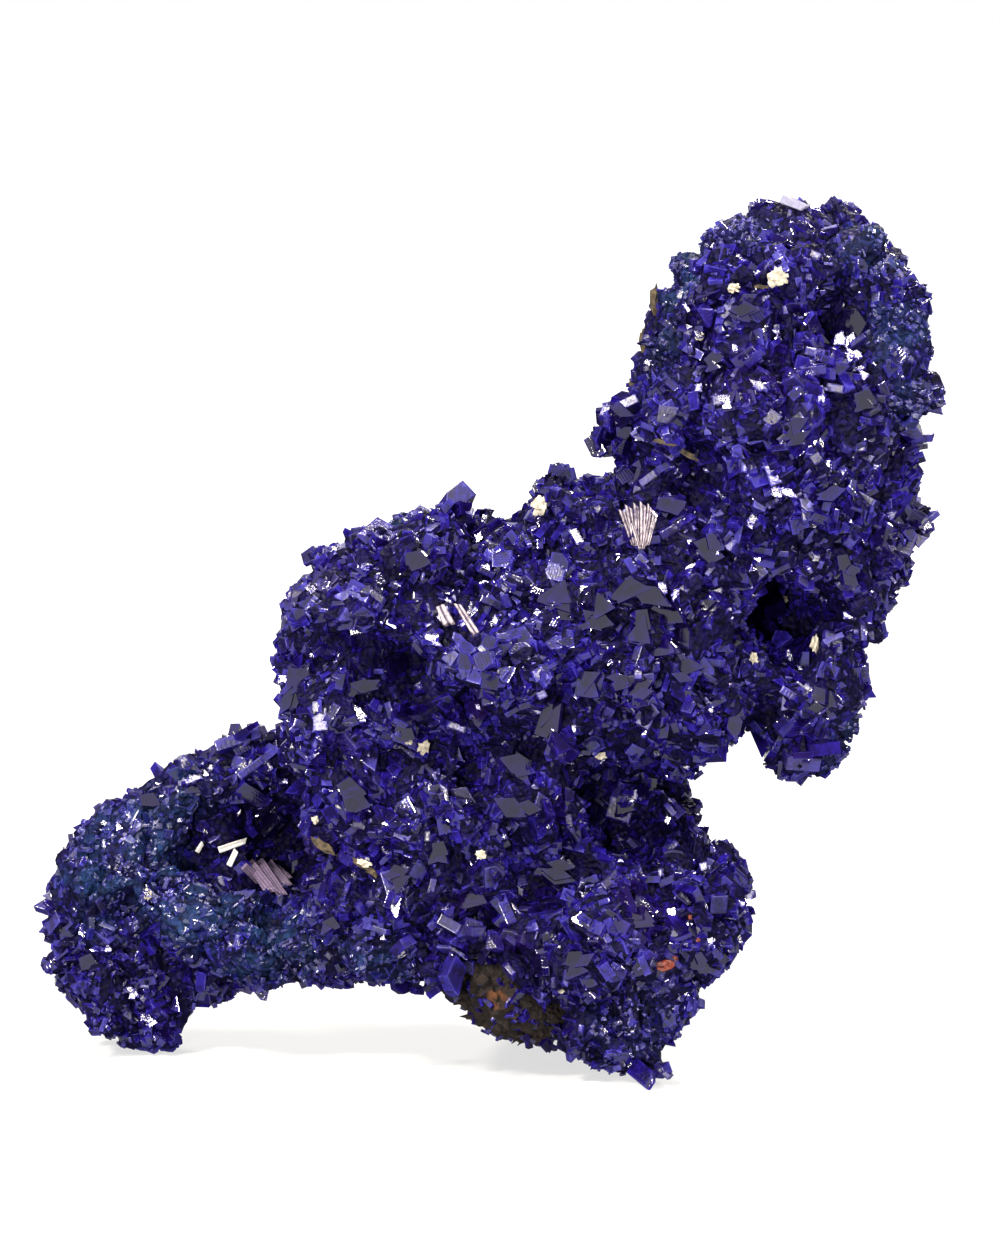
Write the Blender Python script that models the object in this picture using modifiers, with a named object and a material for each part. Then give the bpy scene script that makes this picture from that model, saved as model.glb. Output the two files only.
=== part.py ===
"""An azurite crystal cluster: one knobbly, lobed mass of intergrown blue crystals on a scrap of limonite.

The mass stands on three low feet and leans up to the right into a rounded head.  It is blocked out
from rounded lobes, roughened into knobs, hollowed where the cluster has pockets, faceted, and then
set with tabular crystals that are fused to it.  Units are metres, +Z is up and -Y faces the viewer.
The origin is on the ground, below the middle of the cluster's bounding box.
"""

import math
import random
from collections import namedtuple

import bmesh
import bpy
from mathutils import Matrix, Quaternion, Vector

MM = 0.001

# Driving dimensions, in millimetres.
VOXEL = 0.6              # grid of the blocked-out mass
COVER = 0.7              # the crystals' relief, between the mass and a lobe's full radius
SKIN_GAP = 0.4           # clearance between the azurite and the limonite it grew on
FACET_JITTER = 0.40      # how far a facet's corner strays from the smooth mass
BODY_FACETS = 1200       # triangles of the mass before its crystals are set
MATRIX_FACETS = 380      # triangles of the limonite
MATRIX_JITTER = 0.25
MATRIX_VOXEL = 0.45
KNOB_SPACING = 4.6
KNOB_RADIUS = (1.6, 2.8)
KNOB_SUNK = 0.5          # share of a knob's radius below the surface
CRYSTAL_SPACING = 4.2
CRYSTAL_LENGTH = (3.0, 5.2)
CRYSTAL_WIDTH = (0.65, 0.95)      # shares of the length
CRYSTAL_THICKNESS = (0.28, 0.46)
CRYSTAL_PROUD = (0.8, 1.7)        # how high a crystal's outermost corner stands above the mass
CRYSTAL_SKEW = 0.32      # shear of the tablets, whose faces are rhombs and not rectangles
WEDGE_LEAN = (0.5, 1.2)           # slope of the cut that makes a crystal's wedge, across its width
WEDGE_TILT = (-0.4, 0.4)          # and through its thickness
WEDGE_REACH = (0.34, 0.5)         # the cut's distance from the crystal's middle, as a share of its length
TRIES = 14               # random places tried for each square of one spacing
SMOOTH_FACTOR = 0.5
SMOOTH_ROUNDS = 2
WELD = 0.002             # corners nearer than this are one
GROUND_SIZE = (120.0, 120.0, 20.0)    # the block below the ground that levels the feet
SEED = 11

# A lobe's centre and radii in millimetres, out to the crystals' faces, and its lean about +Y in degrees.
Lobe = namedtuple("Lobe", "name centre radii lean", defaults=(0.0,))

LOBES = (
    Lobe("head left", (19.3, 0.0, 54.1), (6.6, 8.0, 6.5)),
    Lobe("head right", (25.9, 1.0, 53.3), (5.2, 7.5, 6.9)),
    Lobe("head base", (21.0, 0.0, 47.5), (10.4, 9.5, 5.9)),
    Lobe("head step", (15.2, -0.5, 50.2), (5.2, 7.4, 4.6)),
    Lobe("head shoulder", (13.9, -1.0, 45.6), (5.4, 8.0, 4.4)),
    Lobe("head back", (22.0, 7.0, 50.0), (6.5, 4.5, 7.0)),
    Lobe("neck", (21.4, 0.0, 41.0), (8.8, 10.5, 7.7)),
    Lobe("neck front", (20.2, -3.0, 45.0), (8.2, 6.6, 6.0)),
    Lobe("neck right", (27.1, 1.0, 40.2), (3.9, 8.5, 6.6)),
    Lobe("column top", (25.6, 0.0, 33.5), (3.7, 8.0, 5.0), 10.0),
    Lobe("column middle", (22.7, 0.0, 26.4), (3.2, 7.5, 5.6), 15.0),
    Lobe("column back", (20.0, 5.5, 29.0), (4.6, 5.5, 6.5)),
    Lobe("column foot", (21.6, 1.0, 22.2), (3.0, 6.5, 3.0)),
    Lobe("centre top", (12.0, -1.0, 35.6), (9.1, 11.0, 7.4)),
    Lobe("centre", (8.1, -1.0, 30.1), (11.9, 13.0, 9.1)),
    Lobe("centre right", (14.4, -2.0, 26.6), (5.6, 11.0, 5.6)),
    Lobe("centre back", (12.0, 9.0, 31.0), (8.0, 6.5, 8.0)),
    Lobe("ridge bump", (7.1, 0.0, 39.6), (4.3, 7.0, 2.8)),
    Lobe("ridge saddle", (2.4, 0.0, 37.2), (3.2, 6.0, 2.6)),
    Lobe("bulge top", (-3.8, 0.0, 35.3), (6.7, 9.5, 4.3)),
    Lobe("bulge left", (-9.0, 0.0, 32.1), (5.3, 10.0, 4.9)),
    Lobe("bulge low", (-10.4, 0.0, 25.0), (4.6, 9.5, 5.6)),
    Lobe("bulge core", (-2.4, 0.0, 28.4), (8.4, 11.5, 7.7)),
    Lobe("bulge back", (-5.0, 8.0, 28.0), (6.5, 6.0, 6.5)),
    Lobe("rosette", (1.5, -9.6, 29.6), (4.4, 4.4, 4.4)),
    Lobe("middle left", (-8.0, -1.0, 18.0), (6.0, 9.0, 5.3)),
    Lobe("middle", (-0.3, -1.0, 18.7), (9.1, 10.5, 6.3)),
    Lobe("middle front", (-3.4, -3.6, 14.2), (7.4, 6.4, 5.0)),
    Lobe("middle back", (-2.0, 8.0, 17.0), (8.0, 5.5, 7.0)),
    Lobe("middle low", (-5.9, -1.0, 10.5), (8.4, 8.5, 5.0)),
    Lobe("rim top", (-18.8, 4.0, 19.4), (6.1, 5.5, 2.7), -28.0),
    Lobe("rim link", (-11.6, 4.0, 17.4), (3.8, 5.0, 4.2)),
    Lobe("rim left", (-27.4, 3.0, 12.4), (3.7, 5.5, 4.0)),
    Lobe("rim low", (-19.9, 0.0, 10.2), (8.4, 6.0, 3.6), 22.0),
    Lobe("rim back", (-17.6, 7.5, 14.4), (8.4, 5.0, 5.4)),
    Lobe("left foot", (-26.2, 3.0, 6.0), (4.4, 5.8, 6.4), -20.0),
    Lobe("left toe", (-23.4, 3.5, 2.2), (2.8, 4.7, 3.1)),
    Lobe("foot web", (-19.0, 3.0, 7.2), (4.6, 4.6, 2.8)),
    Lobe("rim floor", (-14.5, 3.5, 10.8), (5.0, 5.0, 4.2)),
    Lobe("low edge", (-12.6, 1.0, 7.8), (5.3, 5.5, 2.5)),
    Lobe("right lobe", (9.2, -4.0, 9.7), (7.7, 8.5, 6.7)),
    Lobe("right lobe edge", (14.6, -3.0, 12.3), (3.5, 7.5, 5.0)),
    Lobe("right lobe left", (3.9, -3.0, 8.7), (6.0, 8.5, 5.3)),
    Lobe("right foot", (9.2, -5.6, 3.5), (5.1, 5.4, 4.9)),
    Lobe("back bulk", (9.8, 6.0, 18.0), (5.8, 8.0, 4.2)),
    Lobe("back leg", (8.6, 7.2, 11.4), (5.4, 6.4, 5.8)),
    Lobe("back foot", (8.3, 10.5, 4.9), (5.4, 5.8, 7.2)),
)

# Hollows and clefts cut into the mass, in the same terms as a lobe.
HOLLOWS = (
    Lobe("dark hollow", (-7.2, -10.2, 27.6), (3.9, 5.0, 2.5), 14.0),
    Lobe("crystal pocket", (-0.6, -10.8, 21.6), (2.2, 3.4, 1.8)),
    Lobe("column cleft", (19.9, -8.6, 30.2), (1.3, 4.4, 6.0), 30.0),
    Lobe("head hollow", (26.2, -7.2, 54.6), (2.2, 3.6, 2.4)),
    Lobe("shoulder cleft", (11.6, -8.0, 42.6), (4.4, 3.0, 0.8), 14.0),
    Lobe("foot cleft", (-23.6, -3.6, 10.2), (5.2, 3.4, 0.9), 36.0),
    Lobe("rim hollow", (-14.6, -2.0, 15.2), (4.4, 5.0, 2.4), 8.0),
)

# The limonite shows on the underside, between the middle and the right lobe.
LIMONITE = (
    Lobe("limonite body", (1.8, -3.4, 5.7), (4.8, 5.4, 3.2), 30.0),
    Lobe("limonite tail", (-1.6, -1.6, 6.9), (3.2, 4.6, 2.0), 30.0),
)

AZURITE_BLUE = (0.020, 0.014, 0.190, 1.0)
LIMONITE_BROWN = (0.150, 0.070, 0.028, 1.0)


def clear_scene():
    for obj in list(bpy.data.objects):
        bpy.data.objects.remove(obj, do_unlink=True)


def new_collection(name):
    collection = bpy.data.collections.new(name)
    bpy.context.scene.collection.children.link(collection)
    return collection


def new_material(name, colour, roughness):
    material = bpy.data.materials.new(name)
    material.use_nodes = True
    shader = material.node_tree.nodes["Principled BSDF"]
    shader.inputs["Base Color"].default_value = colour
    shader.inputs["Roughness"].default_value = roughness
    shader.inputs["Metallic"].default_value = 0.0
    return material


def object_from_bmesh(name, bm, collection):
    mesh = bpy.data.meshes.new(name)
    bm.to_mesh(mesh)
    bm.free()
    obj = bpy.data.objects.new(name, mesh)
    collection.objects.link(obj)
    return obj


def bake(obj):
    """Replaces an object's mesh with what its modifiers make of it."""
    bpy.context.view_layer.update()
    graph = bpy.context.evaluated_depsgraph_get()
    baked = bpy.data.meshes.new_from_object(obj.evaluated_get(graph))
    obj.modifiers.clear()
    obj.data = baked
    return obj


def as_helper(obj):
    obj.hide_render = True
    obj.display_type = "WIRE"
    return obj


def lobe_matrix(lobe, cover):
    """The transform that makes a unit ball into the lobe, less the crystals that will cover it."""
    place = Matrix.Translation(Vector(lobe.centre) * MM)
    lean = Matrix.Rotation(math.radians(lobe.lean), 4, "Y")
    stretch = Matrix.Diagonal([(radius - cover) * MM for radius in lobe.radii] + [1.0])
    return place @ lean @ stretch


def blob(name, lobes, collection, cover=0.0, rounds=3):
    """One overlapping heap of balls, still to be made a single skin."""
    bm = bmesh.new()
    for lobe in lobes:
        bmesh.ops.create_icosphere(bm, subdivisions=rounds, radius=1.0, matrix=lobe_matrix(lobe, cover))
    return object_from_bmesh(name, bm, collection)


def add_voxel_skin(obj, voxel=VOXEL):
    skin = obj.modifiers.new("voxel skin", "REMESH")
    skin.mode = "VOXEL"
    skin.voxel_size = voxel * MM


def add_smooth(obj, factor, rounds):
    smooth = obj.modifiers.new("smooth", "SMOOTH")
    smooth.factor = factor
    smooth.iterations = rounds


def add_boolean(obj, other, operation, own_overlaps=False):
    boolean = obj.modifiers.new(operation.lower(), "BOOLEAN")
    boolean.operation = operation
    boolean.object = other
    boolean.use_self = own_overlaps


def add_decimate(obj, facets):
    count = sum(len(polygon.vertices) - 2 for polygon in bake(obj).data.polygons)
    decimate = obj.modifiers.new("facets", "DECIMATE")
    decimate.ratio = min(1.0, facets / count)
    decimate.use_collapse_triangulate = True


def surface_points(mesh, spacing, rng):
    """Scattered (point, normal) pairs on a mesh, no two nearer than the spacing in metres."""
    mesh.calc_loop_triangles()
    triangles = list(mesh.loop_triangles)
    areas = [triangle.area for triangle in triangles]
    tries = int(TRIES * sum(areas) / spacing**2)
    cells = {}
    found = []
    for triangle in rng.choices(triangles, weights=areas, k=tries):
        a, b, c = (mesh.vertices[i].co for i in triangle.vertices)
        u, v = rng.random(), rng.random()
        if u + v > 1.0:
            u, v = 1.0 - u, 1.0 - v
        point = a + (b - a) * u + (c - a) * v
        cell = tuple(int(value // spacing) for value in point)
        near = (
            other
            for i in (-1, 0, 1)
            for j in (-1, 0, 1)
            for k in (-1, 0, 1)
            for other in cells.get((cell[0] + i, cell[1] + j, cell[2] + k), ())
        )
        if any((other - point).length < spacing for other in near):
            continue
        cells.setdefault(cell, []).append(point)
        found.append((point, triangle.normal.copy()))
    return found


def knobs_on(mesh, rng):
    """Round knobs half sunk in the mass, each the seat of a cluster of crystals."""
    knobs = []
    for point, normal in surface_points(mesh, KNOB_SPACING * MM, rng):
        radius = rng.uniform(*KNOB_RADIUS)
        centre = point / MM - normal * radius * KNOB_SUNK
        knobs.append(Lobe("knob", centre, (radius,) * 3))
    return knobs


def block_out_mass(collection, rng):
    """The lobes and knobs as one closed skin, hollowed and smoothed."""
    mass = blob("azurite_crystals", LOBES, collection, cover=COVER)
    add_voxel_skin(mass)
    bake(mass)
    knobs = blob("knobs", knobs_on(mass.data, rng), collection, rounds=2)
    hollows = as_helper(blob("hollows", HOLLOWS, collection))
    bm = bmesh.new()
    bm.from_mesh(mass.data)
    bm.from_mesh(knobs.data)
    bm.to_mesh(mass.data)
    bm.free()
    bpy.data.objects.remove(knobs, do_unlink=True)
    add_voxel_skin(mass)
    add_boolean(mass, hollows, "DIFFERENCE", own_overlaps=True)
    add_voxel_skin(mass)
    add_smooth(mass, SMOOTH_FACTOR, SMOOTH_ROUNDS)
    bake(mass)
    bpy.data.objects.remove(hollows, do_unlink=True)
    return mass


def facet(obj, facets, jitter, rng):
    """Coarse flat facets whose corners stray in and out, as crowded crystal faces do."""
    add_decimate(obj, facets)
    bake(obj)
    bm = bmesh.new()
    bm.from_mesh(obj.data)
    bm.normal_update()
    for vertex in bm.verts:
        vertex.co += vertex.normal * rng.uniform(-jitter, jitter) * MM
    bm.to_mesh(obj.data)
    bm.free()


def crystal(bm, matrix, wedge):
    """A tabular crystal, long in Z and thin in Y, with one corner of its outer end cut to a wedge."""
    geometry = set(bmesh.ops.create_cube(bm, size=1.0)["verts"])
    for vertex in list(geometry):
        geometry.update(vertex.link_edges, vertex.link_faces)
    normal, reach = wedge
    cut = bmesh.ops.bisect_plane(
        bm, geom=list(geometry), plane_co=normal * reach, plane_no=normal, clear_outer=True,
    )
    rim = [part for part in cut["geom_cut"] if isinstance(part, bmesh.types.BMEdge)]
    bmesh.ops.edgenet_fill(bm, edges=rim)
    kept = [part for part in cut["geom"] + cut["geom_cut"] if part.is_valid]
    corners = {part for part in kept if isinstance(part, bmesh.types.BMVert)}
    bmesh.ops.transform(bm, matrix=matrix, verts=list(corners))


def crystal_frame(point, normal, rng):
    """A crystal's transform: turned every way, its faces skewed, its outermost corner a little proud."""
    length = rng.uniform(*CRYSTAL_LENGTH) * MM
    size = (length * rng.uniform(*CRYSTAL_WIDTH), length * rng.uniform(*CRYSTAL_THICKNESS), length, 1.0)
    skew = Matrix.Identity(4)
    skew[0][2] = rng.uniform(-CRYSTAL_SKEW, CRYSTAL_SKEW)
    turn = Quaternion([rng.gauss(0.0, 1.0) for _ in range(4)]).normalized().to_matrix().to_4x4()
    shape = turn @ skew @ Matrix.Diagonal(size)
    reach = 0.5 * sum(abs(normal.dot(shape.col[axis].to_3d())) for axis in range(3))
    centre = point + normal * (rng.uniform(*CRYSTAL_PROUD) * MM - reach)
    return Matrix.Translation(centre) @ shape


def grow_crystals(mass, collection, rng):
    """Crystals all over the mass, in one mesh, for one Boolean to fuse."""
    bm = bmesh.new()
    for point, normal in surface_points(mass.data, CRYSTAL_SPACING * MM, rng):
        side = rng.choice((-1.0, 1.0))
        wedge = Vector((side * rng.uniform(*WEDGE_LEAN), rng.uniform(*WEDGE_TILT), 1.0)).normalized()
        crystal(bm, crystal_frame(point, normal, rng), (wedge, rng.uniform(*WEDGE_REACH)))
    bmesh.ops.recalc_face_normals(bm, faces=bm.faces)
    return object_from_bmesh("crystals", bm, collection)


def keep_largest_island(obj):
    """Drops the loose scraps and sealed bubbles that joining many crystals leaves behind."""
    bm = bmesh.new()
    bm.from_mesh(obj.data)
    bmesh.ops.remove_doubles(bm, verts=bm.verts, dist=WELD * MM)
    bmesh.ops.triangulate(bm, faces=bm.faces)
    unseen = set(bm.verts)
    islands = []
    while unseen:
        stack = [unseen.pop()]
        island = []
        while stack:
            vertex = stack.pop()
            island.append(vertex)
            for edge in vertex.link_edges:
                other = edge.other_vert(vertex)
                if other in unseen:
                    unseen.remove(other)
                    stack.append(other)
        islands.append(island)
    islands.sort(key=len)
    scraps = [vertex for island in islands[:-1] for vertex in island]
    bmesh.ops.delete(bm, geom=scraps, context="VERTS")
    bm.to_mesh(obj.data)
    bm.free()


def cut_ground(obj, collection):
    """Levels the feet: everything below the ground plane goes, which leaves small flat soles."""
    bm = bmesh.new()
    size = Matrix.Diagonal([side * MM for side in GROUND_SIZE] + [1.0])
    middle = Matrix.Translation((0, 0, -GROUND_SIZE[2] / 2 * MM))
    bmesh.ops.create_cube(bm, size=1.0, matrix=middle @ size)
    ground = as_helper(object_from_bmesh("ground", bm, collection))
    add_boolean(obj, ground, "DIFFERENCE")
    bake(obj)
    bpy.data.objects.remove(ground, do_unlink=True)


def limonite_bed(limonite, helpers):
    """The limonite's own shape with the skin gap all round it, as the cutter of its seat."""
    bed = bpy.data.objects.new("bed", limonite.data.copy())
    helpers.objects.link(bed)
    grow = bed.modifiers.new("gap", "DISPLACE")
    grow.mid_level = 0.0
    grow.strength = SKIN_GAP * MM
    return as_helper(bake(bed))


def build_azurite(collection, helpers, limonite):
    rng = random.Random(SEED)
    mass = block_out_mass(collection, rng)
    facet(mass, BODY_FACETS, FACET_JITTER, rng)
    crystals = as_helper(grow_crystals(mass, helpers, rng))
    add_boolean(mass, crystals, "UNION", own_overlaps=True)
    add_boolean(mass, limonite_bed(limonite, helpers), "DIFFERENCE")
    bake(mass)
    cut_ground(mass, helpers)
    keep_largest_island(mass)
    mass.data.materials.clear()
    mass.data.materials.append(new_material("azurite", AZURITE_BLUE, 0.22))
    return mass


def build_limonite(collection):
    rng = random.Random(SEED + 1)
    matrix = blob("limonite_matrix", LIMONITE, collection)
    add_voxel_skin(matrix, MATRIX_VOXEL)
    add_smooth(matrix, SMOOTH_FACTOR, SMOOTH_ROUNDS)
    bake(matrix)
    facet(matrix, MATRIX_FACETS, MATRIX_JITTER, rng)
    matrix.data.materials.clear()
    matrix.data.materials.append(new_material("limonite", LIMONITE_BROWN, 0.85))
    return matrix


def centre_on_origin(objects):
    """Moves the cluster so that the middle of its bounding box is over the origin."""
    corners = [vertex.co for obj in objects for vertex in obj.data.vertices]
    middle = [0.5 * (min(c[axis] for c in corners) + max(c[axis] for c in corners)) for axis in (0, 1)]
    shift = Matrix.Translation((-middle[0], -middle[1], 0.0))
    for obj in objects:
        obj.data.transform(shift)


def main():
    clear_scene()
    parts = new_collection("azurite crystal cluster")
    helpers = new_collection("helpers")
    limonite = build_limonite(parts)
    azurite = build_azurite(parts, helpers, limonite)
    centre_on_origin([azurite, limonite])


main()
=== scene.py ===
# Azurite crystal cluster: the looks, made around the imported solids.
import math
import random

import bmesh
import bpy
import numpy as np
from mathutils import Matrix, Quaternion, Vector, noise
from mathutils.bvhtree import BVHTree
from mathutils.kdtree import KDTree


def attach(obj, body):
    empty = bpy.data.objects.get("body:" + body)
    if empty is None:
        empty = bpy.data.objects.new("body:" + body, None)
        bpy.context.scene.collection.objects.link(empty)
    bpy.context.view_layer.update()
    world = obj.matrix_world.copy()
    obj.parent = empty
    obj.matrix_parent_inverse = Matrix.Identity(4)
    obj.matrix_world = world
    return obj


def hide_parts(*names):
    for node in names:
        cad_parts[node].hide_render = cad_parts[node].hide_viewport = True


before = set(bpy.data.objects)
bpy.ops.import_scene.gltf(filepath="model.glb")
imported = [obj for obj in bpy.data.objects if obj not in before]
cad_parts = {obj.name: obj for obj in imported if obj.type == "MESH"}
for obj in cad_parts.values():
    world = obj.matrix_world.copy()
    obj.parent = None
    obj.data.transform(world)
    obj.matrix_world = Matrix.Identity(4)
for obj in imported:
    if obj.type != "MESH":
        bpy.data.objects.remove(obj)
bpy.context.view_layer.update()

mm = 0.001


# Camera

view = {
    "aim": (0.9, -1.4, 30.7),  # mm, the point in the middle of the picture
    "distance": 450.0,  # mm
    "elevation": 8.0,  # degrees above the horizon
    "pixel": 0.07,  # mm on the object for one pixel of the photograph
    "picture": (1000, 1260),
}


def makeCamera():
    data = bpy.data.cameras.new("camera")
    camera = bpy.data.objects.new("camera", data)
    bpy.context.scene.collection.objects.link(camera)
    bpy.context.scene.camera = camera
    up = math.radians(view["elevation"])
    back = Vector((0.0, -math.cos(up), math.sin(up)))
    camera.location = (Vector(view["aim"]) + back * view["distance"]) * mm
    camera.rotation_euler = (-back).to_track_quat("-Z", "Y").to_euler()
    data.sensor_width = 36.0
    data.lens = data.sensor_width * view["distance"] / (view["picture"][1] * view["pixel"])
    data.clip_start = 0.01
    data.clip_end = 20.0
    return camera


camera = makeCamera()
bpy.context.view_layer.update()
eye = camera.matrix_world.translation.copy()


# where a pixel of the photograph looks, from the camera
def pixelRay(px, py):
    width, height = view["picture"]
    scale = view["pixel"] / view["distance"]
    local = Vector(((px - width / 2) * scale, (height / 2 - py) * scale, -1.0))
    return (camera.matrix_world.to_3x3() @ local).normalized()


# the photograph pixels of an array of points, and their distance from the camera
def toPixels(points):
    turn = np.array(camera.matrix_world.to_3x3())
    local = (np.asarray(points) - np.array(eye)) @ turn
    scale = view["distance"] / view["pixel"] / -local[:, 2]
    width, height = view["picture"]
    pixels = np.stack([width / 2 + local[:, 0] * scale, height / 2 - local[:, 1] * scale], axis=1)
    return pixels, np.linalg.norm(local, axis=1)


# Small helpers

def linkObject(name, data):
    obj = bpy.data.objects.new(name, data)
    bpy.context.scene.collection.objects.link(obj)
    return obj


def meshFrom(bm, name):
    mesh = bpy.data.meshes.new(name)
    bm.to_mesh(mesh)
    bm.free()
    return mesh


def bakeModifiers(obj):
    bpy.context.view_layer.update()
    graph = bpy.context.evaluated_depsgraph_get()
    mesh = bpy.data.meshes.new_from_object(obj.evaluated_get(graph))
    obj.modifiers.clear()
    obj.data = mesh


def readArray(items, key, width):
    values = np.empty(len(items) * width, dtype=np.float32)
    items.foreach_get(key, values)
    return values.reshape(-1, width)


def finishPiece(obj):
    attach(obj, "root")
    return obj


def smoothStep(low, high, value):
    t = np.clip((value - low) / (high - low), 0.0, 1.0)
    return t * t * (3.0 - 2.0 * t)


# from 1 near a place to 0 far from it, with the inner and outer edge as shares of its reach
def nearness(points, centre, reach, inner=0.0, outer=1.0):
    return 1.0 - smoothStep(inner * reach, outer * reach, np.linalg.norm(points - centre, axis=1))


def rowsOf(table):
    return [row for rows in table.values() for row in rows]


# Materials

def newMaterial(name):
    material = bpy.data.materials.new(name)
    material.use_nodes = True
    tree = material.node_tree
    return material, tree, tree.nodes["Principled BSDF"]


# feeds inputs of a node, named or numbered, from sockets or with fixed values
def feed(tree, node, inputs):
    for key, value in inputs.items():
        if isinstance(value, bpy.types.NodeSocket):
            tree.links.new(value, node.inputs[key])
        else:
            node.inputs[key].default_value = value


def addNode(tree, kind, inputs, **settings):
    node = tree.nodes.new(kind)
    for key, value in settings.items():
        setattr(node, key, value)
    feed(tree, node, inputs)
    return node


def attribute(tree, name, output="Fac"):
    return addNode(tree, "ShaderNodeAttribute", {}, attribute_name=name).outputs[output]


def coordinates(tree, output):
    return addNode(tree, "ShaderNodeTexCoord", {}).outputs[output]


def mixColour(tree, factor, a, b):
    return addNode(tree, "ShaderNodeMix", {"Factor": factor, 6: a, 7: b}, data_type="RGBA").outputs[2]


def maths(tree, operation, a, b=0.0, clamp=False):
    return addNode(tree, "ShaderNodeMath", {0: a, 1: b}, operation=operation, use_clamp=clamp).outputs[0]


def times(tree, a, b):
    return maths(tree, "MULTIPLY", a, b)


def added(tree, first, *others):
    for value in others:
        first = maths(tree, "ADD", first, value)
    return first


# a dot product, a distance or a length
def vectorMeasure(tree, operation, *vectors):
    node = addNode(tree, "ShaderNodeVectorMath", dict(enumerate(vectors)), operation=operation)
    return node.outputs["Value"]


def mapRange(tree, value, low, high, outLow, outHigh):
    inputs = {"Value": value, "From Min": low, "From Max": high, "To Min": outLow, "To Max": outHigh}
    return addNode(tree, "ShaderNodeMapRange", inputs).outputs[0]


def noiseTexture(tree, vector, scale, detail, roughness=0.55):
    inputs = {"Vector": vector, "Scale": scale, "Detail": detail, "Roughness": roughness}
    return addNode(tree, "ShaderNodeTexNoise", inputs).outputs["Fac"]


# growth lines across a crystal or a bar
def striaeTexture(tree, own, scale, distortion, detail):
    inputs = {"Vector": own, "Scale": scale, "Distortion": distortion, "Detail": detail}
    return addNode(tree, "ShaderNodeTexWave", inputs, wave_type="BANDS", bands_direction="X").outputs["Fac"]


def addBump(tree, shader, height, strength, depth):
    bump = addNode(tree, "ShaderNodeBump", {"Height": height, "Strength": strength, "Distance": depth * mm})
    feed(tree, shader, {"Normal": bump.outputs["Normal"]})


azurite = {
    "deep": (0.0020, 0.0010, 0.012, 1.0),
    "blue": (0.0060, 0.0024, 0.060, 1.0),
    "bright": (0.0150, 0.0080, 0.200, 1.0),
    "pale": (0.0700, 0.0600, 0.360, 1.0),
    "teal": (0.0090, 0.0300, 0.105, 1.0),
    "violet": (0.0120, 0.0040, 0.060, 1.0),
    # glow at which each colour starts and is full, and its share
    "colourSteps": {"blue": (0.80, 1.25, 1.0), "bright": (1.20, 1.55, 1.0), "pale": (1.55, 1.85, 0.8)},
    "violetScale": 160.0,
    "violetPatches": (0.52, 0.70, 0.0, 0.5),
    "ior": 1.75,
    "shares": {"cloud": 1.2, "grain": 0.35, "toneAndShade": 0.62},  # what the inner glow is made of
    "clearGlow": 0.62,  # share of the inner glow that the clearest faces show
    "clearReach": 0.14,  # the dullness from which a face shows all of it
    "smooth": 0.035,  # roughness of the clearest faces
    "rough": 0.46,
    "roughReach": (0.25, 1.0),
    "cloudScale": 2.6,  # blotches inside a crystal, per its length
    "cloudSteps": (17.0, 31.0),  # how far tint and dullness move a crystal along the cloud
    "grainScale": 5200.0,  # per metre
    "striae": (2.2, 2.0, 2.0),  # growth lines: scale per the crystal's length, distortion, detail
    "striaeHeight": 0.3,
    "rim": (0.36, 0.60, 0.0, 0.30),  # light gathers at the rims of the tablets
    "edgeWidth": (0.010, 0.070),  # mm, the width of the painted highlight along the facets' edges
    "edgeHighlight": (0.46, 0.66, 0.0, 0.34),
    "edgeDrop": 0.8,
    "veinScale": 1400.0,
    "veinWidth": 0.022,
    "veinGlow": 0.42,
    "bump": 0.03,  # mm
    "bumpStrength": (0.08, 1.0),
    "waves": 0.9,  # slow waves of a face, beside its grain
}


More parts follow.
